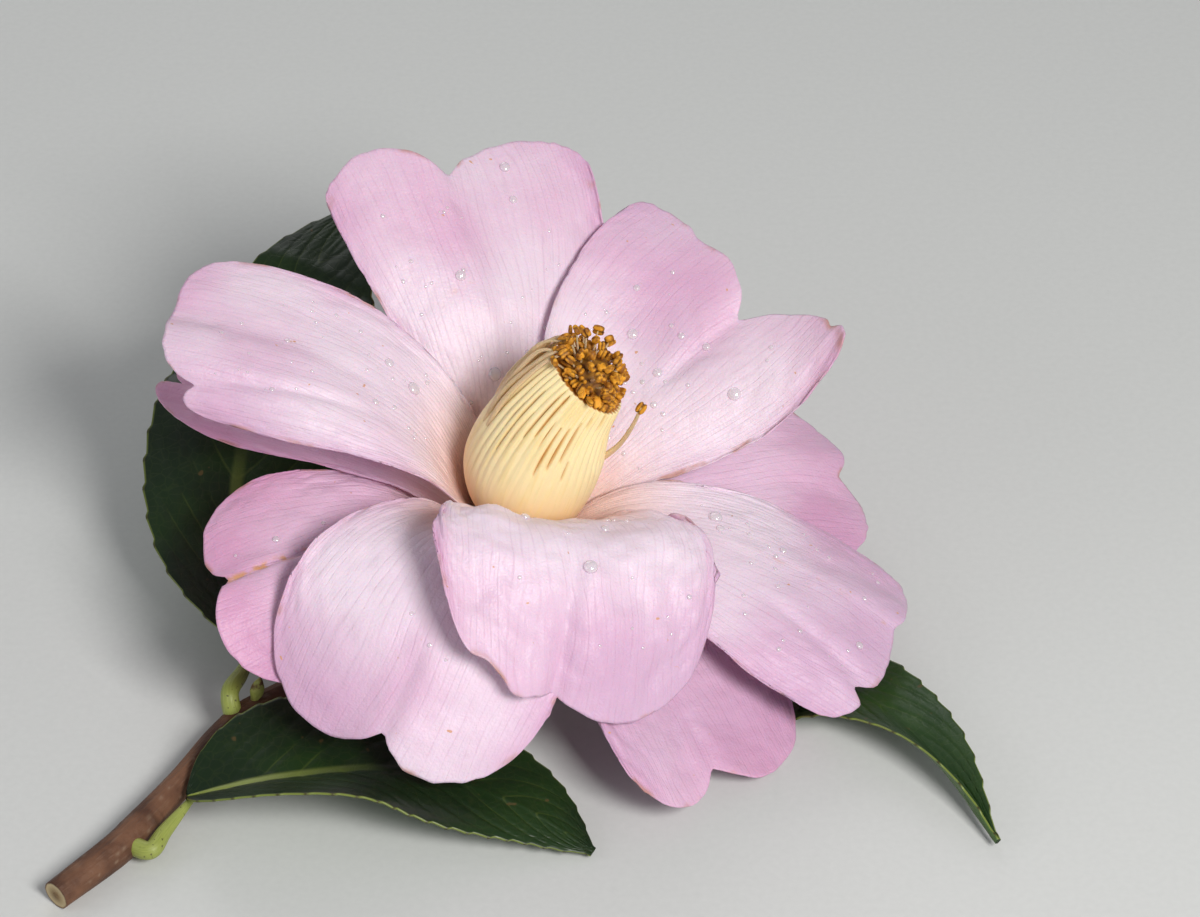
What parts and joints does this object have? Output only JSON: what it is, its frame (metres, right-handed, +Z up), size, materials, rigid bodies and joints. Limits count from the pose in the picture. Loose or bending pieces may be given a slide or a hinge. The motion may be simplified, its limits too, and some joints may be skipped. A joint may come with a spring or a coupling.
{
  "type": "camellia flower",
  "caption": "Open camellia bloom with broad notched petals round a leaning column of stamens, cut on a woody twig with toothed leaves, lying on a surface.",
  "frame": {"origin": "on the surface that the flower lies on, under the middle of the whole part's box", "axes": "+Z up; +X along the part's longest extent, from the twig's cut end towards the tip of the right-hand leaf, the side to which the bloom leans; -Y towards the viewer whom the open bloom faces"},
  "size_m": [0.14, 0.1246, 0.0614],
  "materials": {
    "petal_pink": "thin, soft pale pink petal, satin matt, with fine veins",
    "calyx_green": "matt yellow-green sepals with brown margins",
    "stamen_cream": "waxy cream-yellow filaments, peach at the foot",
    "anther_gold": "mealy golden-brown pollen sacs",
    "leaf_green": "leathery, glossy dark green above, paler yellow-green below",
    "bark_brown": "thin rough brown bark, with pale wood at the cut end",
    "bud_green": "overlapping matt green bud scales with brown edges",
    "dew_clear": "small clear drops of water that stand on the petals"
  },
  "bodies": {
    "root": {"petal_front": "petal_pink", "petal_right": "petal_pink", "petal_left": "petal_pink", "petal_back_right": "petal_pink", "petal_back": "petal_pink", "petal_front_left": "petal_pink", "petal_outer_right": "petal_pink", "petal_outer_front": "petal_pink", "petal_outer_back_left": "petal_pink", "petal_outer_left": "petal_pink", "petal_outer_back": "petal_pink", "calyx": "calyx_green", "stamen_column": "stamen_cream", "anthers": "anther_gold", "leaf_left": "leaf_green", "leaf_lower": "leaf_green", "leaf_right": "leaf_green", "twig": "bark_brown", "axillary_bud": "bud_green"}
  },
  "joints": []
}
